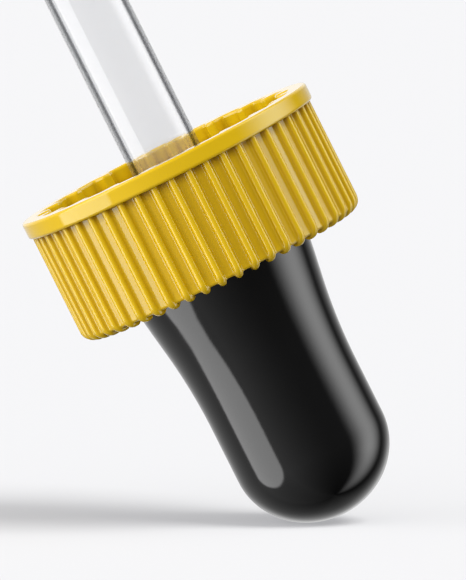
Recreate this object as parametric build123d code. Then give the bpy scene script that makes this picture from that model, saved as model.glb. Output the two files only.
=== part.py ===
from build123d import *
from math import cos, radians, sin, tan
import os

# Dropper closure: a ribbed screw cap, a rubber bulb and a glass pipette.
# Millimetres.  The closure's axis is Z and its origin is the centre of the cap's mouth.
# +Z points to the pipette's drop tip, -Z to the closed end of the bulb.

# ---- Screw cap ------------------------------------------------------------------------
BAND_RADIUS = 14.7          # smooth band round the mouth
BAND_HEIGHT = 1.65
BAND_EDGE = 0.25
CAP_HEIGHT = 12.2           # mouth plane to the flat end face
PANEL = 1.4                 # thickness of the end panel
HOLE_RADIUS = 9.05          # hole in the panel, which the bulb stands in
BORE_RADIUS = 12.15         # inside wall, which is the root of the thread
VALLEY_RADIUS = 13.88       # outside wall between the ribs
VALLEY_CORNER = 0.3

RIB_COUNT = 50
RIB_CREST = 14.38
RIB_WIDTH = 0.74
RIB_FOOT = 12.6             # how far in the rib ends reach over the end face
RIB_OVERRUN = 0.45          # how far they stand past the end face
RIB_CORNER = 1.15
RIB_FOOT_CORNER = 0.4

LUG_COUNT = 20              # lugs inside the mouth
LUG_DEPTH = 2.0
LUG_CREST = 11.85
GROOVE_RADIUS = 12.9
LUG_CENTRE_ANGLE = -77.65   # the middle of one lug, degrees about Z
LUG_CREST_ANGLE = 4.2
LUG_ROOT_ANGLE = 8.8

THREAD_PITCH = 3.175        # single start, right hand, for a 24 mm bottle neck
THREAD_TURNS = 1.35
THREAD_CREST = 11.2
THREAD_ROOT_WIDTH = 1.7
THREAD_CREST_WIDTH = 0.7
THREAD_LOW = -7.9           # height of the inner end of the ridge

# ---- Rubber bulb ----------------------------------------------------------------------
SEAT_GAP = 0.05             # axial clearance between the flange and the panel
FLANGE_RADIUS = 10.7
FLANGE = 2.0
FLANGE_EDGE = 0.35
SHOULDER_RADIUS = 8.87      # where the bulb leaves the panel
CONE_ANGLE = 8.9            # half angle of the cone below the panel
BEND_RADIUS = 53.0          # long curve from the cone into the barrel
BARREL_RADIUS = 7.48
BARREL_END = -30.66
DOME_HEIGHT = 6.98
BULB_WALL = 1.3
SOCKET_CLEARANCE = 0.03     # running fit round the pipette
SOCKET_END = -17.2
CAVITY_START = -19.9        # where the cavity reaches its full width

# ---- Glass pipette --------------------------------------------------------------------
TUBE_RADIUS = 3.5
TUBE_WALL = 0.65
TUBE_SEAT = -18.0           # inner end, just inside the cavity
TUBE_LENGTH = 76.0
TIP_RADIUS = 1.5
TIP_BORE = 0.65
TIP_LENGTH = 5.0            # slim straight end
SHOULDER_LENGTH = 9.0       # between the tube and the slim end
FIRE_POLISH = 0.3


def polar(radius, degrees):
    """Point on the XY plane from a radius and an angle about Z."""
    return (radius * cos(radians(degrees)), radius * sin(radians(degrees)))


def turned(outline, corners=()):
    """Solid of revolution about Z from an (r, z) outline; corners are (r, z, radius)."""
    face = make_face(outline)
    for r, z, radius in corners:
        point = Vector(r, z)
        corner = min(face.vertices(), key=lambda v: (Vector(v) - point).length)
        face = fillet(corner, radius)
    return revolve(Plane.XZ * face, Axis.Z)


def closed(points):
    """Straight-sided (r, z) outline."""
    return Polyline(*points, close=True)


# ---- Screw cap ------------------------------------------------------------------------
def cap_shell():
    """Turned wall, end panel, mouth band and the recess that the lugs stand in."""
    outline = closed([
        (HOLE_RADIUS, -CAP_HEIGHT),
        (VALLEY_RADIUS, -CAP_HEIGHT),
        (VALLEY_RADIUS, -BAND_HEIGHT),
        (BAND_RADIUS, -BAND_HEIGHT),
        (BAND_RADIUS, 0),
        (GROOVE_RADIUS, 0),
        (GROOVE_RADIUS, -LUG_DEPTH),
        (BORE_RADIUS, -LUG_DEPTH),
        (BORE_RADIUS, PANEL - CAP_HEIGHT),
        (HOLE_RADIUS, PANEL - CAP_HEIGHT),
    ])
    return turned(outline, [
        (VALLEY_RADIUS, -CAP_HEIGHT, VALLEY_CORNER),
        (BAND_RADIUS, -BAND_HEIGHT, BAND_EDGE),
        (BAND_RADIUS, 0, BAND_EDGE),
    ])


def cap_rib():
    """One half-round grip rib on -Y, which wraps over the shoulder on to the end face."""
    tip = -CAP_HEIGHT - RIB_OVERRUN
    top = -BAND_HEIGHT / 2
    nose = RIB_CREST - RIB_WIDTH / 2
    root = RIB_FOOT - 1
    bar = Pos((root + nose) / 2, 0) * Rectangle(nose - root, RIB_WIDTH)
    bar += Pos(nose, 0) * Circle(RIB_WIDTH / 2)
    bar = extrude(Pos(0, 0, tip) * bar, top - tip)
    spare = 0.05            # keeps the envelope clear of the crest
    envelope = closed([(RIB_FOOT, tip), (RIB_CREST + spare, tip),
                       (RIB_CREST + spare, top), (RIB_FOOT, top)])
    corners = [(RIB_FOOT, tip, RIB_FOOT_CORNER),
               (RIB_CREST + spare, tip, RIB_CORNER + spare)]
    return Rot(0, 0, -90) * (bar & turned(envelope, corners))


def cap_lug():
    """One lug of the mouth: a crest concentric with the mouth and two sloping flanks."""
    back = GROOVE_RADIUS + 0.3      # the back of the lug is buried in the wall
    crest = LUG_CREST_ANGLE / 2
    root = LUG_ROOT_ANGLE / 2
    section = make_face([
        ThreePointArc(polar(LUG_CREST, -crest), polar(LUG_CREST, 0),
                      polar(LUG_CREST, crest)),
        Polyline(polar(LUG_CREST, crest), polar(GROOVE_RADIUS, root), polar(back, root)),
        ThreePointArc(polar(back, root), polar(back, 0), polar(back, -root)),
        Polyline(polar(back, -root), polar(GROOVE_RADIUS, -root), polar(LUG_CREST, -crest)),
    ])
    lug = extrude(Pos(0, 0, -LUG_DEPTH) * section, LUG_DEPTH)
    return Rot(0, 0, LUG_CENTRE_ANGLE) * lug


def cap_thread():
    """Helical ridge inside the cap; its back is buried in the wall."""
    bury = 0.4
    path = Helix(THREAD_PITCH, THREAD_PITCH * THREAD_TURNS, BORE_RADIUS,
                 center=(0, 0, THREAD_LOW))
    section = Plane(path @ 0, x_dir=(1, 0, 0), z_dir=path % 0)
    ridge = closed([
        (bury, -THREAD_ROOT_WIDTH / 2),
        (0, -THREAD_ROOT_WIDTH / 2),
        (THREAD_CREST - BORE_RADIUS, -THREAD_CREST_WIDTH / 2),
        (THREAD_CREST - BORE_RADIUS, THREAD_CREST_WIDTH / 2),
        (0, THREAD_ROOT_WIDTH / 2),
        (bury, THREAD_ROOT_WIDTH / 2),
    ])
    return sweep(section * make_face(ridge), path=path, is_frenet=True)


def screw_cap():
    """The moulded cap in one piece."""
    ribs = PolarLocations(0, RIB_COUNT) * cap_rib()
    lugs = PolarLocations(0, LUG_COUNT) * cap_lug()
    return cap_shell() + ribs + lugs + cap_thread()


# ---- Rubber bulb ----------------------------------------------------------------------
def bulb_outline():
    """Half section of the bulb, from the sealing face round the outside and back inside."""
    socket = TUBE_RADIUS + SOCKET_CLEARANCE
    under_panel = PANEL - CAP_HEIGHT + SEAT_GAP
    seal = under_panel + FLANGE
    lean = radians(CONE_ANGLE)
    cone_radius = BARREL_RADIUS + BEND_RADIUS * (1 - cos(lean))
    cone_end = -CAP_HEIGHT - (SHOULDER_RADIUS - cone_radius) / tan(lean)
    barrel_start = cone_end - BEND_RADIUS * sin(lean)
    inside = BARREL_RADIUS - BULB_WALL
    return [
        Polyline((socket, seal), (FLANGE_RADIUS, seal), (FLANGE_RADIUS, under_panel),
                 (SHOULDER_RADIUS, under_panel), (SHOULDER_RADIUS, -CAP_HEIGHT),
                 (cone_radius, cone_end)),
        TangentArc((BARREL_RADIUS, barrel_start), (cone_radius, cone_end), tangent=(0, 1)),
        Line((BARREL_RADIUS, barrel_start), (BARREL_RADIUS, BARREL_END)),
        dome(BARREL_RADIUS, DOME_HEIGHT),
        Line((0, BARREL_END - DOME_HEIGHT), (0, BARREL_END - DOME_HEIGHT + BULB_WALL)),
        dome(inside, DOME_HEIGHT - BULB_WALL),
        Polyline((inside, BARREL_END), (inside, CAVITY_START), (socket, SOCKET_END),
                 (socket, seal)),
    ]


def dome(radius, height):
    """Quarter ellipse, as a cubic curve, that closes the barrel."""
    pull = 0.5523           # control distance that makes a cubic follow an ellipse
    pole = BARREL_END - height
    return Bezier((radius, BARREL_END), (radius, BARREL_END - pull * height),
                  (pull * radius, pole), (0, pole))


def rubber_bulb():
    """Hollow teat with a thick neck that grips the pipette and a flange that seals."""
    under_panel = PANEL - CAP_HEIGHT + SEAT_GAP
    return turned(bulb_outline(), [
        (FLANGE_RADIUS, under_panel, FLANGE_EDGE),
        (FLANGE_RADIUS, under_panel + FLANGE, FLANGE_EDGE),
    ])


# ---- Glass pipette --------------------------------------------------------------------
def drawn_wall(tube_radius, tip_radius, tip):
    """One side of the wall: the straight tube, an even S shoulder and the slim end."""
    slim = tip - TIP_LENGTH
    full = slim - SHOULDER_LENGTH
    middle = ((tube_radius + tip_radius) / 2, (slim + full) / 2)
    return [
        Line((tube_radius, TUBE_SEAT), (tube_radius, full)),
        TangentArc((tube_radius, full), middle, tangent=(0, 1)),
        TangentArc((tip_radius, slim), middle, tangent=(0, -1)),
        Line((tip_radius, slim), (tip_radius, tip)),
    ]


def glass_pipette():
    """Plain tube with a straight drawn tip and fire-polished ends."""
    tip = TUBE_SEAT + TUBE_LENGTH
    bore = TUBE_RADIUS - TUBE_WALL
    outline = drawn_wall(TUBE_RADIUS, TIP_RADIUS, tip) + drawn_wall(bore, TIP_BORE, tip)
    outline += [Line((bore, TUBE_SEAT), (TUBE_RADIUS, TUBE_SEAT)),
                Line((TIP_BORE, tip), (TIP_RADIUS, tip))]
    ends = [(bore, TUBE_SEAT), (TUBE_RADIUS, TUBE_SEAT), (TIP_BORE, tip), (TIP_RADIUS, tip)]
    return turned(outline, [(r, z, FIRE_POLISH) for r, z in ends])


# ---- Files ----------------------------------------------------------------------------
os.makedirs("parts", exist_ok=True)
export_step(screw_cap(), "parts/screw_cap.step")
export_step(rubber_bulb(), "parts/rubber_bulb.step")
export_step(glass_pipette(), "parts/glass_pipette.step")
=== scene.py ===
from math import acos, atan2, cos, pi, radians, sin, sqrt, tan

import bpy
import numpy as np
from mathutils import Matrix, Vector


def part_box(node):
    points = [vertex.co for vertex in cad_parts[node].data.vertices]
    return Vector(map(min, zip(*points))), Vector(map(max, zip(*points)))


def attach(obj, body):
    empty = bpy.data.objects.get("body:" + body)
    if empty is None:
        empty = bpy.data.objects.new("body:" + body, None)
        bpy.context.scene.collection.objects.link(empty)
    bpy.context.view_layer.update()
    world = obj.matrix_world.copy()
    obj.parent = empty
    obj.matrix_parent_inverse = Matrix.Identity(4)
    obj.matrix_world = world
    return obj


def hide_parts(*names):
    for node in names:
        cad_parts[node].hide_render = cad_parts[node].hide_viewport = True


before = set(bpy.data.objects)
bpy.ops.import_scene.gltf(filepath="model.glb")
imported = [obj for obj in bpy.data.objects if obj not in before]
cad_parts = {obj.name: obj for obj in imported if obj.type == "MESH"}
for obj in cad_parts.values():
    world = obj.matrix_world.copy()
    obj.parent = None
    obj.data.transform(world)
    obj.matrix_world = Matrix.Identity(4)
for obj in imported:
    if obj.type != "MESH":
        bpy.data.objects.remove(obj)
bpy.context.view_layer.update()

# Everything is worked out in millimetres in the part's frame and put into meshes in metres.
# +Z is the closure's axis, towards the drop tip; the cap's mouth is the plane z = 0.
MM = 0.001
cap_low, cap_high = (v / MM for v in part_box("screw_cap"))
bulb_low, bulb_high = (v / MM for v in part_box("rubber_bulb"))
tube_low, tube_high = (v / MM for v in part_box("glass_pipette"))

# ---- Cap sizes ------------------------------------------------------------------------
BAND_R = cap_high.x
BAND_H = 1.65
BAND_EDGE = 0.28
RIB_OVERRUN = 0.45
END_Z = cap_low.z + RIB_OVERRUN     # flat end face
PANEL = 1.4
HOLE_R = 9.05
HOLE_EDGE = 0.2
BORE_R = 12.15
BORE_CORNER = 0.4                   # between the end panel and the bore's wall
LIP_FLAT = 0.75                     # from the band's outside to the lip's inner row
VALLEY_R = 13.88
VALLEY_CORNER = 0.3
RIBS = 50
RIB_CREST = 14.38
RIB_ROUND = 0.365                   # radius of its crest
RIB_FILLET = 0.255                  # radius at its roots
BAND_FILLET = 0.1                   # between the band's underside and the ribs
RIB_CORNER = 1.15
RIB_INNER = 12.95                   # where a rib starts to sink into the end face
RIB_END = 12.3
RIB_MIDDLES = (-4.5, -8.0)          # heights of the rows along the ribs
LUGS = 20
LUG_DEPTH = 2.0
LUG_CREST_R = 11.85
GROOVE_R = 12.9
LUG_CENTRE = -77.65                 # degrees about Z, the middle of one lug
LUG_WIDTH = 6.5                     # degrees, at half its height
LUG_FLANK = radians(65)
LUG_ROUND = 0.33                    # radius of its crest and root corners
LUG_TOP_ROUND = 0.28                # radius between its wall and the mouth plane
LUG_UNDER_EDGE = 0.12               # height of the bevel at its underside
LUG_UNDER_SHARE = 0.12              # share of the step to the bore that the bevel takes
PITCH = 3.175
THREAD_TURNS = 1.35
THREAD_LOW = -7.9
THREAD_DEPTH = 0.95
THREAD_FOOT = 0.85                  # half the ridge's width at the wall
THREAD_FLANK = 0.5                  # width of each sloping side
THREAD_FADE = 0.06                  # turns over which the ridge rises from the wall
THREAD_ROWS = 30                    # rows on the threaded wall
THREAD_WALL_LOW = 1.3               # its first row, above the end panel
THREAD_WALL_TOP = 0.45              # its last row, below the lugs
THREAD_START = radians(90)          # from the rib on -Y, so the ridge starts on +X
COLUMNS = 1000                      # 20 for each rib and 50 for each lug
HOLD = 0.06                         # from a rounding to the next row, so that flats look flat

# ---- Bulb sizes -----------------------------------------------------------------------
FLANGE_R = bulb_high.x
SEAL_Z = bulb_high.z
FLANGE = 2.0
SHOULDER_R = 8.87
CONE_DEGREES = 8.9
CONE = radians(CONE_DEGREES)
BEND_R = 53.0
BARREL_R = 7.48
BARREL_END = -30.66
DOME = BARREL_END - bulb_low.z
BULB_WALL = 1.3
SOCKET_R = 3.53
SOCKET_END = -17.2
CAVITY_START = -19.9
CAVITY_CORNER = 0.8
SHOULDER_CORNER = 0.25
FLANGE_EDGE = 0.35
SOCKET_EDGE = 0.2
BULB_SEGMENTS = 192

# ---- Pipette sizes --------------------------------------------------------------------
TUBE_R = tube_high.x
TUBE_WALL = 0.65
TUBE_SEAT = tube_low.z
TUBE_TIP = tube_high.z
TIP_R = 1.5
TIP_BORE = 0.65
TIP_LENGTH = 5.0
TIP_SHOULDER = 9.0
FIRE_POLISH = 0.3
TUBE_END = 0.5                      # the last stretch before each end
TUBE_SEGMENTS = 128
GLASS_CLEAR = (0.845, 0.85, 0.86)
GLASS_PAINTED_EDGE = (0.04, 0.042, 0.045)   # painted shade: its dark lines, where the wall is seen edge on
GLASS_DARKENS = (0.38, 0.48)        # Facing values between which a painted dark line comes in
GLASS_CLEARS = (0.52, 0.72)         # and between which it weakens towards the outline
GLASS_OUTLINE = 0.58                # share of its darkness that is left at the outline
BORE_CLEAR = (1, 1, 1)

# ---- Camera ---------------------------------------------------------------------------
VIEW_TURN = radians(1.8)            # the camera stands this far round from -Y
VIEW_RISE = radians(4.3)            # and looks this steeply into the mouth
LEAN = radians(26.64)               # the closure leans to the left by this much
TARGET = Vector((0.1, 0, -14.34))
CAMERA_DISTANCE = 830.0
CAMERA_LENS = 554.0
FLOOR_RISE = radians(4.0)           # the camera's height above the floor, as an angle

# ---- Floor ----------------------------------------------------------------------------
FLOOR_REACH = 1600.0
FLOOR_GLOW = (0.388, 0.388, 0.403)  # light of its own, which keeps the shadow pale
SUN_WIDTH = 36.0                    # degrees
SUN_STRENGTH = 4.9
SUN_ACROSS = 0.65                   # to the right, for each unit above the floor
SUN_BEFORE = 0.48                   # towards the camera, for each unit above the floor

# ---- Studio ---------------------------------------------------------------------------
# Angles are in degrees: turn is round the closure from the camera, positive to its right, and
# rise is above the mouth plane. A pair runs from the angle where a light is out to the angle
# where it is full. Levels are brightnesses.
PALE = (0.922, 0.922, 0.939)        # the plain background
LEFT_TURN = -75                     # middle of the left strip
LEFT_HALF = 24                      # half its width
LEFT_END = -25.5                    # its round lower end
LEFT_CLOSING = 60                   # where its upper end starts to close in
LEFT_TOP = 80                       # its upper end
LEFT_EDGE = 0.08                    # softness of its outline, as a share of its half width
LEFT_LEVEL = 3.6
LEFT_MATT = 0.7                     # share of it that lights matt surfaces
RIGHT_INNER = (54, 90)              # the right strip's four soft edges
RIGHT_OUTER = (128, 92)
RIGHT_LOWER = (-88, -30)
RIGHT_UPPER = (75, 45)
RIGHT_LEVEL = 3.7
RIGHT_MATT = 0.5
GLOW_FRONT = (35, -45)              # the room's lighter left side
GLOW_BACK = (-175, -95)
GLOW_LEVEL = 0.48
BACK_RIGHT = (130, 162)             # the room behind the closure, right and left
BACK_LEFT = (-106, -162)
BACK_LEVEL = 0.68
ROOM_LEVEL = 0.09
ROOM_BELOW = (-85, -15)             # the room darkens towards straight below
ROOM_LOWEST = 0.15                  # share of it that is left there
RIM_BACK = (100, 140)               # pale wall behind, which the mouth's lip reflects
RIM_RISE = (0, 4)
RIM_LEVEL = 0.35
PAPER_BACK = (135, 170)             # pale floor behind, which the end of the bulb reflects
PAPER_NEAR = (-12, -22)
PAPER_FAR = (-56, -26)
PAPER_LEVEL = 0.5
FILL_RISE = radians(38)             # the height of the soft light before the closure
FILL_LEVEL = 1.95
ROOM_MATT = 0.04


# ---- Curves ---------------------------------------------------------------------------
def arc(centre, radius, start, end, steps):
    """Points on an arc in the (r, z) plane, both ends included; angles in degrees from +r."""
    angles = np.radians(np.linspace(start, end, steps + 1))
    return [(centre[0] + radius * cos(a), centre[1] + radius * sin(a)) for a in angles]


def rounded(points, steps=5, hold=HOLD):
    """Outline from (r, z, radius) points, with an arc at each corner that has a radius and
    a point just before and after the arc, which keeps the straight parts flat in shading."""
    out = []
    count = len(points)
    for i, (r, z, radius) in enumerate(points):
        here = Vector((r, z))
        if not radius:
            out.append(here)
            continue
        before = (Vector(points[i - 1][:2]) - here).normalized()
        after = (Vector(points[(i + 1) % count][:2]) - here).normalized()
        half = before.angle(after) / 2
        reach = radius / tan(half)
        centre = here + (before + after).normalized() * (radius / sin(half))
        out.append(here + before * (reach + hold))
        first = here + before * reach - centre
        last = here + after * reach - centre
        start = atan2(first.y, first.x)
        sweep = (atan2(last.y, last.x) - start + pi) % (2 * pi) - pi
        for k in range(steps + 1):
            a = start + sweep * k / steps
            out.append(centre + Vector((cos(a), sin(a))) * radius)
        out.append(here + after * (reach + hold))
    return out


def ring(radius, angles, z):
    """One closed row of points round Z; every argument may be a number or an array."""
    angles = np.asarray(angles, float)
    radius = np.broadcast_to(radius, angles.shape)
    z = np.broadcast_to(z, angles.shape)
    return np.stack([radius * np.cos(angles), radius * np.sin(angles), z], axis=1)


def pushed(row, distance):
    """Row moved sideways by a distance along its own normal in the XY plane, outwards."""
    along = np.roll(row, -1, axis=0) - np.roll(row, 1, axis=0)
    normal = np.stack([along[:, 1], -along[:, 0], np.zeros(len(row))], axis=1)
    return row + distance * normal / np.linalg.norm(normal, axis=1)[:, None]


def at_height(row, z):
    """Copy of a row at another height."""
    moved = row.copy()
    moved[:, 2] = z
    return moved


# ---- Meshes ---------------------------------------------------------------------------
def new_piece(name, vertices, faces, material):
    """Smooth-shaded mesh object with its faces turned outwards."""
    mesh = bpy.data.meshes.new(name)
    mesh.from_pydata((np.asarray(vertices) * MM).tolist(), [], faces)
    mesh.materials.append(material)
    mesh.shade_smooth()
    mesh.update()
    piece = bpy.data.objects.new(name, mesh)
    bpy.context.scene.collection.objects.link(piece)
    return piece


def loop_of_rows(rows):
    """Vertices and faces of a closed skin: the rows follow a section all the way round."""
    rows = np.array(rows)
    count, columns = rows.shape[:2]
    faces = []
    for i in range(count):
        a, b = i * columns, (i + 1) % count * columns
        for j in range(columns):
            k = (j + 1) % columns
            faces.append((a + j, a + k, b + k, b + j))
    return rows.reshape(-1, 3), faces


def lathe(outline, segments, closed=True):
    """Vertices and faces of an outline turned about Z. An open outline starts and ends on
    the axis."""
    angles = np.arange(segments) * 2 * pi / segments
    if closed:
        return loop_of_rows([ring(r, angles, z) for r, z in outline])
    rows = [ring(r, angles, z) for r, z in outline[1:-1]]
    vertices, faces = loop_of_rows(rows)
    faces = faces[:-segments]           # no skin from the last row back to the first
    first, last = len(vertices), len(vertices) + 1
    end = len(vertices) - segments
    for j in range(segments):
        k = (j + 1) % segments
        faces.append((first, k, j))
        faces.append((last, end + j, end + k))
    poles = [(0, 0, outline[0][1]), (0, 0, outline[-1][1])]
    return np.vstack([vertices, poles]), faces


# ---- Cap ------------------------------------------------------------------------------
def even_angles():
    """Evenly spaced columns. Column 0 is the middle of the rib on -Y."""
    return radians(-90) + np.arange(COLUMNS) * 2 * pi / COLUMNS


def rib_section():
    """Rib as (sideways place, height) points from one root to the other: a round crest that
    runs straight into round roots."""
    height = RIB_CREST - VALLEY_R
    both = RIB_ROUND + RIB_FILLET
    steep = acos(1 - height / both)     # where crest and root meet, on a steep side
    root = both * sin(steep)
    crest = [(RIB_ROUND * sin(a), height - RIB_ROUND * (1 - cos(a)))
             for a in np.linspace(-steep, steep, 9)]
    fillet = [(root - RIB_FILLET * sin(a), RIB_FILLET * (1 - cos(a)))
              for a in np.linspace(0, steep, 4)[:-1]]
    left = [(-x, h) for x, h in fillet]
    return left + crest + fillet[::-1]


def rib_row(valley, crest):
    """Row round the ribs; valley and crest are the (r, z) points that it passes through."""
    section = rib_section()
    full = RIB_CREST - VALLEY_R
    out = []
    per_rib = COLUMNS // RIBS
    gap = per_rib - len(section)        # columns in the valley between two ribs
    pitch = 2 * pi / RIBS
    edge = np.arcsin(section[-1][0] / valley[0])
    for rib in range(RIBS):
        angle = radians(-90) + rib * pitch
        outward = np.array([cos(angle), sin(angle), 0])
        side = np.array([-sin(angle), cos(angle), 0])
        for x, height in section:
            share = height / full
            r = sqrt(valley[0] ** 2 - x * x) + share * (crest[0] - valley[0])
            z = valley[1] + share * (crest[1] - valley[1])
            out.append(outward * r + side * x + np.array([0, 0, z]))
        for k in range(1, gap + 1):
            a = angle + edge + (pitch - 2 * edge) * k / (gap + 1)
            out.append(np.array([valley[0] * cos(a), valley[0] * sin(a), valley[1]]))
    return np.roll(np.array(out), -(len(section) // 2), axis=0)


def lug_row():
    """The mouth's inner wall: lugs with sloping flanks and rounded corners."""
    height = GROOVE_R - LUG_CREST_R
    middle = (GROOVE_R + LUG_CREST_R) / 2
    half_pitch = pi / LUGS * middle
    run = height / tan(LUG_FLANK)
    crest_corner = radians(LUG_WIDTH) / 2 * middle - run / 2
    root_corner = crest_corner + run
    reach = LUG_ROUND * tan(LUG_FLANK / 2)
    turns = np.linspace(0, LUG_FLANK, 6)
    top = [(crest_corner - reach + LUG_ROUND * sin(a), height - LUG_ROUND * (1 - cos(a)))
           for a in turns]
    foot = [(root_corner + reach - LUG_ROUND * sin(a), LUG_ROUND * (1 - cos(a)))
            for a in turns[::-1]]
    spare = COLUMNS // LUGS // 2 - 1 - len(top) - len(foot)
    floor = [(s, 0) for s in np.linspace(root_corner + reach, half_pitch, spare + 2)[1:]]
    half = [(0, height)] + top + foot + floor
    whole = half + [(-s, h) for s, h in half[-2:0:-1]]
    out = []
    for lug in range(LUGS):
        centre = radians(LUG_CENTRE) + lug * 2 * pi / LUGS
        for s, h in whole:
            turn = s / middle
            if s < 0:
                turn += 2 * pi / LUGS
            angle, r = centre + turn, GROOVE_R - h
            out.append((r * cos(angle), r * sin(angle), 0))
    first = round((LUG_CENTRE + 90) / 360 * COLUMNS)
    return np.roll(np.array(out), first, axis=0)


def mouth_rows():
    """From the lugs' top edges over the mouth plane and down the smooth band."""
    wall, even = lug_row(), even_angles()
    rows = []
    for a in np.radians(np.linspace(0, 90, 5)):
        out = pushed(wall, LUG_TOP_ROUND * (1 - cos(a)))
        rows.append(at_height(out, -LUG_TOP_ROUND * (1 - sin(a))))
    rows.append(at_height(pushed(wall, LUG_TOP_ROUND + HOLD), 0))
    rows.append(ring(BAND_R - LIP_FLAT, even, 0))
    edge = BAND_R - BAND_EDGE
    band = [(edge - 0.05, 0)]
    band += arc((edge, -BAND_EDGE), BAND_EDGE, 90, 0, 5)
    band += [(BAND_R, -BAND_EDGE - HOLD), (BAND_R, -BAND_H + BAND_EDGE + HOLD)]
    band += arc((edge, -BAND_H + BAND_EDGE), BAND_EDGE, 0, -90, 5)
    return rows + [ring(r, even, z) for r, z in band]


def rib_rows():
    """From the band's underside down the ribs and round them on to the end face."""
    top = -BAND_H
    contour = rib_row((VALLEY_R, top), (RIB_CREST, top))
    rows = []
    for a in np.radians([90, 45, 0]):
        out = pushed(contour, BAND_FILLET * (1 - cos(a)))
        rows.append(at_height(out, top - BAND_FILLET * (1 - sin(a))))
    shoulder = cap_low.z + RIB_CORNER
    for z in (top - 2 * BAND_FILLET, *RIB_MIDDLES, shoulder + 0.3, shoulder):
        rows.append(rib_row((VALLEY_R, z), (RIB_CREST, z)))
    crest = arc((RIB_CREST - RIB_CORNER, shoulder), RIB_CORNER, 0, -90, 9)[1:]
    valley = arc((VALLEY_R - VALLEY_CORNER, END_Z + VALLEY_CORNER), VALLEY_CORNER,
                 0, -90, 8)
    rows += [rib_row(v, c) for v, c in zip(valley, crest)]
    for t in np.linspace(0, 1, 7):
        r = RIB_INNER + (RIB_END - RIB_INNER) * t
        proud = RIB_OVERRUN * (1 + cos(pi * t)) / 2
        rows.append(rib_row((r, END_Z), (r, END_Z - proud)))
    return rows


def thread_height(angles, z):
    """How far the thread's ridge stands in from the wall, for points at one height."""
    turned = (angles - angles[0]) / (2 * pi)
    start = THREAD_START / (2 * pi)
    out = np.zeros(len(angles))
    for lap in range(-1, 3):
        turn = turned - start + lap
        along = THREAD_LOW + PITCH * turn
        fade = np.clip(turn / THREAD_FADE, 0, 1)
        fade = fade * np.clip((THREAD_TURNS - turn) / THREAD_FADE, 0, 1)
        flank = np.clip((THREAD_FOOT - abs(z - along)) / THREAD_FLANK, 0, 1)
        ridge = flank * flank * (3 - 2 * flank) * np.sqrt(fade)
        out = np.maximum(out, THREAD_DEPTH * ridge)
    return out


def inner_rows():
    """From the end face through the hole, over the panel and up the threaded wall."""
    even = even_angles()
    inside = END_Z + PANEL
    outline = [(RIB_END - 0.2, END_Z), (HOLE_R + HOLE_EDGE + 0.1, END_Z)]
    outline += arc((HOLE_R + HOLE_EDGE, END_Z + HOLE_EDGE), HOLE_EDGE, 270, 180, 3)
    outline += arc((HOLE_R + HOLE_EDGE, inside - HOLE_EDGE), HOLE_EDGE, 180, 90, 3)
    outline += [(HOLE_R + HOLE_EDGE + 0.1, inside), (BORE_R - 0.5, inside)]
    outline += arc((BORE_R - BORE_CORNER, inside + BORE_CORNER), BORE_CORNER, 270, 360, 3)
    rows = [ring(r, even, z) for r, z in outline]
    for z in np.linspace(inside + THREAD_WALL_LOW, -LUG_DEPTH - THREAD_WALL_TOP, THREAD_ROWS):
        rows.append(ring(BORE_R - thread_height(even, z), even, z))
    rows.append(ring(BORE_R, even, -LUG_DEPTH - LUG_UNDER_EDGE))
    return rows


def lug_rows():
    """The lugs' undersides, the grooves' floors and the walls up to the mouth."""
    wall = lug_row()
    bore = wall * (BORE_R / np.linalg.norm(wall, axis=1))[:, None]
    rows = [at_height(bore, -LUG_DEPTH)]
    rows.append(at_height(wall + (bore - wall) * LUG_UNDER_SHARE, -LUG_DEPTH))
    rows.append(at_height(wall, -LUG_DEPTH + LUG_UNDER_EDGE))
    rows.append(at_height(wall, -LUG_DEPTH + 0.2))
    rows.append(at_height(wall, -LUG_TOP_ROUND - HOLD))
    return rows


def build_cap(material):
    rows = mouth_rows() + rib_rows() + inner_rows() + lug_rows()
    return new_piece("ribbed_cap", *loop_of_rows(rows), material)


# ---- Bulb -----------------------------------------------------------------------------
def dome_points(radius, height, steps):
    """Quarter ellipse from the barrel to the pole, both ends included."""
    angles = np.linspace(0, pi / 2, steps + 1)
    return [(radius * cos(a), BARREL_END - height * sin(a)) for a in angles]


def bulb_outline():
    """From the outer pole up the outside, over the flange, down the socket to the inner
    pole."""
    under = SEAL_Z - FLANGE
    cone_r = BARREL_R + BEND_R * (1 - cos(CONE))
    cone_z = END_Z - (SHOULDER_R - cone_r) / tan(CONE)
    bend_z = cone_z - BEND_R * sin(CONE)
    outside = dome_points(BARREL_R, DOME, 28)[::-1]
    outside += [(BARREL_R, z) for z in np.linspace(BARREL_END, bend_z, 5)[1:-1]]
    bend = arc((BARREL_R + BEND_R, bend_z), BEND_R, 180, 180 - CONE_DEGREES, 12)
    outside += bend
    outside += [(SHOULDER_R - (SHOULDER_R - cone_r) * 0.5, (END_Z + cone_z) / 2)]
    top = rounded([
        (SHOULDER_R, END_Z + 0.3, 0),
        (SHOULDER_R, under, SHOULDER_CORNER),
        (FLANGE_R, under, FLANGE_EDGE),
        (FLANGE_R, SEAL_Z, FLANGE_EDGE),
        (SOCKET_R, SEAL_Z, SOCKET_EDGE),
        (SOCKET_R, SOCKET_END, 0),
        (BARREL_R - BULB_WALL, CAVITY_START, CAVITY_CORNER),
        (BARREL_R - BULB_WALL, BARREL_END, 0),
    ])
    inside = dome_points(BARREL_R - BULB_WALL, DOME - BULB_WALL, 12)[1:]
    return outside + [(p.x, p.y) for p in top] + inside


def build_bulb(material):
    skin = lathe(bulb_outline(), BULB_SEGMENTS, closed=False)
    return new_piece("bulb_teat", *skin, material)


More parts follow.
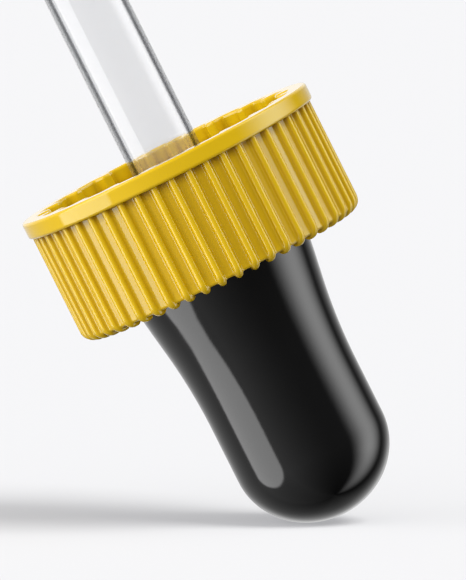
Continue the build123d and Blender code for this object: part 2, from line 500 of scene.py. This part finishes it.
# ---- Pipette --------------------------------------------------------------------------
def drawn_side(tube, tip, steps=14):
    """One side of the glass from the seat to the tip, without its ends: a straight tube,
    an even S shoulder and the slim end."""
    slim = TUBE_TIP - TIP_LENGTH
    full = slim - TIP_SHOULDER
    drop = tube - tip
    radius = (drop ** 2 + TIP_SHOULDER ** 2) / (4 * drop)
    swing = np.degrees(np.arcsin(TIP_SHOULDER / 2 / radius))
    out = [(tube, z) for z in np.linspace(TUBE_SEAT + TUBE_END, full, 9)]
    out += arc((tube - radius, full), radius, 0, swing, steps)[1:]
    out += arc((tip + radius, slim), radius, 180 + swing, 180, steps)[1:]
    return out + [(tip, TUBE_TIP - TUBE_END)]


def pipette_outline():
    """Closed section of the glass wall with fire-polished ends, and the numbers of the rows
    of faces that line its bore."""
    bore = TUBE_R - TUBE_WALL
    top = rounded([(TIP_R, TUBE_TIP - TUBE_END, 0), (TIP_R, TUBE_TIP, FIRE_POLISH),
                   (TIP_BORE, TUBE_TIP, FIRE_POLISH), (TIP_BORE, TUBE_TIP - TUBE_END, 0)],
                  hold=0.03)[1:-1]
    seat = rounded([(bore, TUBE_SEAT + TUBE_END, 0), (bore, TUBE_SEAT, FIRE_POLISH),
                    (TUBE_R, TUBE_SEAT, FIRE_POLISH), (TUBE_R, TUBE_SEAT + TUBE_END, 0)],
                   hold=0.03)[1:-1]
    outside, inside = drawn_side(TUBE_R, TIP_R), drawn_side(bore, TIP_BORE)
    points = outside + [(p.x, p.y) for p in top] + inside[::-1]
    points += [(p.x, p.y) for p in seat]
    bore_rows = range(len(outside) + len(top), len(outside) + len(top) + len(inside) - 1)
    return points, bore_rows


def build_pipette(outer, bore):
    """The tube. Its bore has a material of its own, and it casts no shadow."""
    outline, bore_rows = pipette_outline()
    piece = new_piece("drawn_tube", *lathe(outline, TUBE_SEGMENTS), outer)
    piece.data.materials.append(bore)
    for k in bore_rows:
        for face in piece.data.polygons[k * TUBE_SEGMENTS:(k + 1) * TUBE_SEGMENTS]:
            face.material_index = 1
    piece.visible_shadow = False        # so that light reaches the cap behind it
    piece.visible_diffuse = False
    return piece


# ---- Node trees -----------------------------------------------------------------------
class Tree:
    """Short-hand for building a node tree."""

    def __init__(self, owner):
        owner.use_nodes = True
        self.nodes, self.links = owner.node_tree.nodes, owner.node_tree.links

    def node(self, kind, **settings):
        node = self.nodes.new(kind)
        for key, value in settings.items():
            setattr(node, key, value)
        return node

    def feed(self, socket, value):
        """Puts a number, a colour or another node's output into a socket."""
        if isinstance(value, bpy.types.NodeSocket):
            self.links.new(value, socket)
        elif isinstance(value, tuple):
            socket.default_value = (*value, 1)
        else:
            socket.default_value = value

    def math(self, operation, a, b=0.0):
        node = self.node("ShaderNodeMath", operation=operation)
        self.feed(node.inputs[0], a)
        self.feed(node.inputs[1], b)
        return node.outputs["Value"]

    def product(self, first, *others):
        for other in others:
            first = self.math("MULTIPLY", first, other)
        return first

    def total(self, first, *others):
        for other in others:
            first = self.math("ADD", first, other)
        return first

    def ramp(self, value, start, end, low=0.0, high=1.0, smooth=False):
        """Runs from low to high as value goes from start to end, and stays level beyond."""
        kind = "SMOOTHSTEP" if smooth else "LINEAR"
        node = self.node("ShaderNodeMapRange", interpolation_type=kind)
        self.feed(node.inputs["Value"], value)
        for name, number in (("From Min", start), ("From Max", end),
                             ("To Min", low), ("To Max", high)):
            node.inputs[name].default_value = number
        return node.outputs["Result"]

    def noise(self, scale, detail=3.0):
        """Noise from 0 to 1 over the piece's own coordinates, scale in cycles a metre."""
        place = self.node("ShaderNodeTexCoord")
        texture = self.node("ShaderNodeTexNoise")
        texture.inputs["Scale"].default_value = scale
        texture.inputs["Detail"].default_value = detail
        self.links.new(place.outputs["Object"], texture.inputs["Vector"])
        return texture.outputs["Fac"]

    def blend(self, value, first, second):
        """Colour that runs from the first to the second with value."""
        node = self.node("ShaderNodeMix", data_type="RGBA")
        self.feed(node.inputs["Factor"], value)
        for name, colour in (("A", first), ("B", second)):
            self.feed(node.inputs[name], colour)
        return node.outputs["Result"]

    def share(self, axis):
        """How far the world's direction points along an axis."""
        place = self.node("ShaderNodeTexCoord")
        node = self.node("ShaderNodeVectorMath", operation="DOT_PRODUCT")
        self.feed(node.inputs[0], place.outputs["Generated"])
        node.inputs[1].default_value = axis
        return node.outputs["Value"]

    def choice(self, value, first, second):
        """The first shader where value is 0 and the second where it is 1."""
        node = self.node("ShaderNodeMixShader")
        self.feed(node.inputs[0], value)
        self.feed(node.inputs[1], first)
        self.feed(node.inputs[2], second)
        return node.outputs["Shader"]

    def relief(self, value, height):
        """Surface normal with fine relief of the given height in metres."""
        node = self.node("ShaderNodeBump")
        node.inputs["Distance"].default_value = height
        self.links.new(value, node.inputs["Height"])
        return node.outputs["Normal"]


def new_material(name):
    """New node material; returns it with its tree and its shader's sockets."""
    material = bpy.data.materials.new(name)
    tree = Tree(material)
    return material, tree, tree.nodes["Principled BSDF"].inputs


# ---- Materials ------------------------------------------------------------------------
def yellow_plastic():
    """Glossy moulded polypropylene, with painted shade: darker and deeper in colour in its
    grooves and recesses, and under the band. Its highlights are slightly cool."""
    material, tree, skin = new_material("cap_yellow_plastic")
    painted_groove_shade = (0.46, 0.25, 0.003)
    dull, bright = (0.775, 0.500, 0.007), (0.815, 0.525, 0.009)
    # painted shade: where other parts of the cap lie close, in grooves, recesses and under the
    # band, the colour is darkened towards the groove shade colour
    occlusion_for_shade = tree.node("ShaderNodeAmbientOcclusion", samples=16, only_local=True)
    occlusion_for_shade.inputs["Distance"].default_value = 0.001
    unshaded_share = tree.ramp(occlusion_for_shade.outputs["AO"], 0.60, 0.98)
    flow = tree.blend(tree.noise(260), dull, bright)
    tree.feed(skin["Base Color"], tree.blend(unshaded_share, painted_groove_shade, flow))
    tree.feed(skin["Roughness"], tree.ramp(tree.noise(900), 0, 1, 0.03, 0.07))
    tree.feed(skin["Normal"], tree.relief(tree.noise(1400, 2), 0.000001))
    skin["IOR"].default_value = 1.47
    tree.feed(skin["Specular Tint"], (0.7, 1.0, 1.0))
    return material


def black_rubber():
    """Smooth, glossy black rubber."""
    material, tree, skin = new_material("bulb_black_rubber")
    flow = tree.blend(tree.noise(300), (0.0035, 0.0035, 0.0036), (0.005, 0.005, 0.0052))
    tree.feed(skin["Base Color"], flow)
    tree.feed(skin["Roughness"], tree.ramp(tree.noise(1100), 0, 1, 0.07, 0.11))
    tree.feed(skin["Normal"], tree.relief(tree.noise(1800, 2), 0.000002))
    skin["IOR"].default_value = 1.5
    return material


def clear_glass(name, clear, edge):
    """Clear glass, with painted shade: where a wall is seen edge on, its colour is darkened to
    the edge colour.
    """
    material, tree, skin = new_material(name)
    facing = tree.node("ShaderNodeLayerWeight")
    facing.inputs["Blend"].default_value = 0.5
    edge_on = facing.outputs["Facing"]
    # painted shade: the colour is darkened towards the edge colour where the surface is seen
    # edge on
    painted_edge_shade = tree.product(tree.ramp(edge_on, *GLASS_DARKENS, smooth=True),
                        tree.ramp(edge_on, *GLASS_CLEARS, 1, GLASS_OUTLINE, smooth=True))
    tree.feed(skin["Base Color"], tree.blend(painted_edge_shade, clear, edge))
    tree.feed(skin["Roughness"], tree.ramp(tree.noise(500), 0, 1, 0.0, 0.012))
    skin["IOR"].default_value = 1.5
    skin["Transmission Weight"].default_value = 0.955
    return material


# ---- Stage ----------------------------------------------------------------------------
def view_axes():
    """The camera's right, up and backward directions."""
    front = Vector((sin(VIEW_TURN), -cos(VIEW_TURN), 0))
    back = front * cos(VIEW_RISE) + Vector((0, 0, sin(VIEW_RISE)))
    right = Vector((0, 0, 1)).cross(back).normalized()
    up = back.cross(right)
    return (right * cos(LEAN) - up * sin(LEAN), right * sin(LEAN) + up * cos(LEAN), back)


def add_camera():
    right, up, back = view_axes()
    data = bpy.data.cameras.new("camera")
    data.lens = CAMERA_LENS
    data.clip_start, data.clip_end = 0.05, 20
    camera = bpy.data.objects.new("camera", data)
    place = (TARGET + back * CAMERA_DISTANCE) * MM
    camera.matrix_world = Matrix((
        (right.x, up.x, back.x, place.x),
        (right.y, up.y, back.y, place.y),
        (right.z, up.z, back.z, place.z),
        (0, 0, 0, 1),
    ))
    bpy.context.scene.collection.objects.link(camera)
    bpy.context.scene.camera = camera


def floor_plane():
    """The floor's normal and the point where the dome of the bulb touches it."""
    right, up, back = view_axes()
    normal = up * cos(FLOOR_RISE) + back * sin(FLOOR_RISE)
    half = Vector((BARREL_R, BARREL_R, DOME))
    spread = sqrt(sum((h * n) ** 2 for h, n in zip(half, normal)))
    touch = Vector([-h * h * n / spread for h, n in zip(half, normal)])
    return normal, touch + Vector((0, 0, BARREL_END))


def add_floor():
    """Floor that takes the shadow and is otherwise as pale as the background. Part of its
    brightness is its own, only the camera sees it, and from below it is clear."""
    normal, touch = floor_plane()
    across = view_axes()[0]
    across = (across - normal * across.dot(normal)).normalized()
    deep = normal.cross(across)
    rings, sectors = 24, 64
    vertices, faces = [touch], []
    for i in range(1, rings + 1):
        for j in range(sectors):
            a = 2 * pi * j / sectors
            spoke = across * cos(a) + deep * sin(a)
            vertices.append(touch + spoke * FLOOR_REACH * i / rings)
    for j in range(sectors):
        faces.append((0, 1 + j, 1 + (j + 1) % sectors))
    for i in range(rings - 1):
        a, b = 1 + i * sectors, 1 + (i + 1) * sectors
        for j in range(sectors):
            k = (j + 1) % sectors
            faces.append((a + j, b + j, b + k, a + k))
    material, tree, skin = new_material("floor_paper")
    tone = tree.blend(tree.noise(4), (0.249, 0.249, 0.249), (0.251, 0.251, 0.251))
    tree.feed(skin["Base Color"], tone)
    skin["Roughness"].default_value = 0.9
    skin["Specular IOR Level"].default_value = 0.0
    tree.feed(skin["Emission Color"], FLOOR_GLOW)
    skin["Emission Strength"].default_value = 1.0
    under = tree.node("ShaderNodeNewGeometry").outputs["Backfacing"]
    clear = tree.node("ShaderNodeBsdfTransparent").outputs["BSDF"]
    surface = tree.choice(under, tree.nodes["Principled BSDF"].outputs["BSDF"], clear)
    tree.feed(tree.nodes["Material Output"].inputs["Surface"], surface)
    floor = new_piece("floor", vertices, faces, material)
    for ray in ("diffuse", "glossy", "transmission"):
        setattr(floor, "visible_" + ray, False)
    floor.visible_shadow = False


def add_sun():
    """Wide, soft sunlight from the upper right that only lights the floor."""
    right, up, back = view_axes()
    light = bpy.data.lights.new("floor_sun", "SUN")
    light.angle = radians(SUN_WIDTH)
    light.energy = SUN_STRENGTH
    sun = bpy.data.objects.new("floor_sun", light)
    toward = right * SUN_ACROSS + up + back * SUN_BEFORE
    sun.rotation_mode = "QUATERNION"
    sun.rotation_quaternion = toward.to_track_quat("Z", "Y")
    bpy.context.scene.collection.objects.link(sun)
    lit = bpy.data.collections.new("floor_sun_receivers")
    lit.objects.link(bpy.data.objects["floor"])
    sun.light_linking.receiver_collection = lit


def left_strip(tree, turn, rise):
    """One even panel with closed ends; its outline is where the length is 1."""
    across = tree.ramp(turn, LEFT_TURN - 2 * LEFT_HALF, LEFT_TURN + 2 * LEFT_HALF, -2, 2)
    above = tree.ramp(rise, LEFT_CLOSING, 2 * LEFT_TOP - LEFT_CLOSING, 0, 2)
    place = tree.node("ShaderNodeCombineXYZ")
    tree.feed(place.inputs["X"], across)
    tree.feed(place.inputs["Y"], tree.ramp(rise, 2 * LEFT_END, 0, 2, 0))
    tree.feed(place.inputs["Z"], above)
    length = tree.node("ShaderNodeVectorMath", operation="LENGTH")
    tree.feed(length.inputs[0], place.outputs["Vector"])
    return tree.ramp(length.outputs["Value"], 1 + LEFT_EDGE, 1 - LEFT_EDGE, 0, LEFT_LEVEL,
                     smooth=True)


def right_strip(tree, turn, rise):
    """Panel that is soft at both sides and fades out downwards and upwards."""
    return tree.product(
        tree.ramp(turn, *RIGHT_INNER, smooth=True),
        tree.ramp(turn, *RIGHT_OUTER, smooth=True),
        tree.ramp(rise, *RIGHT_LOWER),
        tree.ramp(rise, *RIGHT_UPPER),
        RIGHT_LEVEL)


def dim_room(tree, turn, rise):
    """The room: lighter on the left and behind, and darker towards straight below."""
    glow = tree.product(tree.ramp(turn, *GLOW_FRONT), tree.ramp(turn, *GLOW_BACK))
    walls = tree.total(
        tree.product(glow, glow, GLOW_LEVEL),
        tree.ramp(turn, *BACK_RIGHT, 0, BACK_LEVEL),
        tree.ramp(turn, *BACK_LEFT, 0, BACK_LEVEL),
        ROOM_LEVEL)
    return tree.product(walls, tree.ramp(rise, *ROOM_BELOW, ROOM_LOWEST, 1))


def rim_light(tree, aback, rise):
    """Pale wall far behind the closure, above the mouth plane."""
    return tree.product(
        tree.ramp(aback, *RIM_BACK, smooth=True),
        tree.ramp(rise, *RIM_RISE, smooth=True),
        RIM_LEVEL)


def paper_glow(tree, aback, rise):
    """Pale floor far behind the closure, below the mouth plane."""
    return tree.product(
        tree.ramp(aback, *PAPER_BACK, smooth=True),
        tree.ramp(rise, *PAPER_NEAR),
        tree.ramp(rise, *PAPER_FAR),
        PAPER_LEVEL)


def front_fill(tree, level):
    """Wide soft light before the closure and above it, which no gloss reflects."""
    toward = level * cos(FILL_RISE) + Vector((0, 0, sin(FILL_RISE)))
    wide = tree.math("MAXIMUM", tree.share(toward), 0.0)
    return tree.product(wide, wide, wide, FILL_LEVEL)


def room_light(tree):
    """Brightness of the studio in each direction, as the gloss reflects it and as it lights
    matt surfaces."""
    front = view_axes()[2]
    level = Vector((front.x, front.y, 0)).normalized()
    aside = tree.share(Vector((0, 0, 1)).cross(level))
    turn = tree.math("DEGREES", tree.math("ARCTAN2", aside, tree.share(level)))
    rise = tree.math("DEGREES", tree.math("ARCSINE", tree.share((0, 0, 1))))
    aback = tree.math("ABSOLUTE", turn)
    left = left_strip(tree, turn, rise)
    right = right_strip(tree, turn, rise)
    gloss = tree.total(left, right, dim_room(tree, turn, rise), rim_light(tree, aback, rise),
                       paper_glow(tree, aback, rise))
    matt = tree.total(tree.product(left, LEFT_MATT), tree.product(right, RIGHT_MATT),
                      front_fill(tree, level), ROOM_MATT)
    return gloss, matt


def plain_light(tree, strength):
    """White world light of a strength that may vary with direction."""
    node = tree.node("ShaderNodeBackground")
    tree.feed(node.inputs["Color"], (1.0, 1.0, 1.0))
    tree.feed(node.inputs["Strength"], strength)
    return node.outputs[0]


def add_world():
    """Plain pale tone for the camera and through the glass. Gloss reflects the studio, and
    matt surfaces take a softer version of it."""
    world = bpy.data.worlds.new("studio")
    tree = Tree(world)
    path = tree.node("ShaderNodeLightPath").outputs
    pale = tree.nodes["Background"]
    tree.feed(pale.inputs["Color"], PALE)
    gloss, matt = room_light(tree)
    seen = tree.math("MAXIMUM", path["Is Camera Ray"], path["Is Transmission Ray"])
    lit = tree.choice(path["Is Glossy Ray"], plain_light(tree, matt), plain_light(tree, gloss))
    mix = tree.choice(seen, lit, pale.outputs[0])
    tree.feed(tree.nodes["World Output"].inputs["Surface"], mix)
    bpy.context.scene.world = world


# ---- Making ---------------------------------------------------------------------------
add_camera()
add_world()
add_floor()
add_sun()

cap = build_cap(yellow_plastic())
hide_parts("screw_cap")
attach(cap, "cap")

bulb = build_bulb(black_rubber())
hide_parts("rubber_bulb")
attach(bulb, "bulb")

outer_glass = clear_glass("pipette_glass_outside", GLASS_CLEAR, GLASS_PAINTED_EDGE)
bore_glass = clear_glass("pipette_glass_bore", BORE_CLEAR, BORE_CLEAR)
tube = build_pipette(outer_glass, bore_glass)
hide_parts("glass_pipette")
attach(tube, "pipette")

bpy.context.scene.view_settings.view_transform = "Standard"
bpy.context.scene.cycles.filter_width = 1.3
bpy.context.scene.cycles.max_bounces = 16
bpy.context.scene.cycles.transmission_bounces = 12
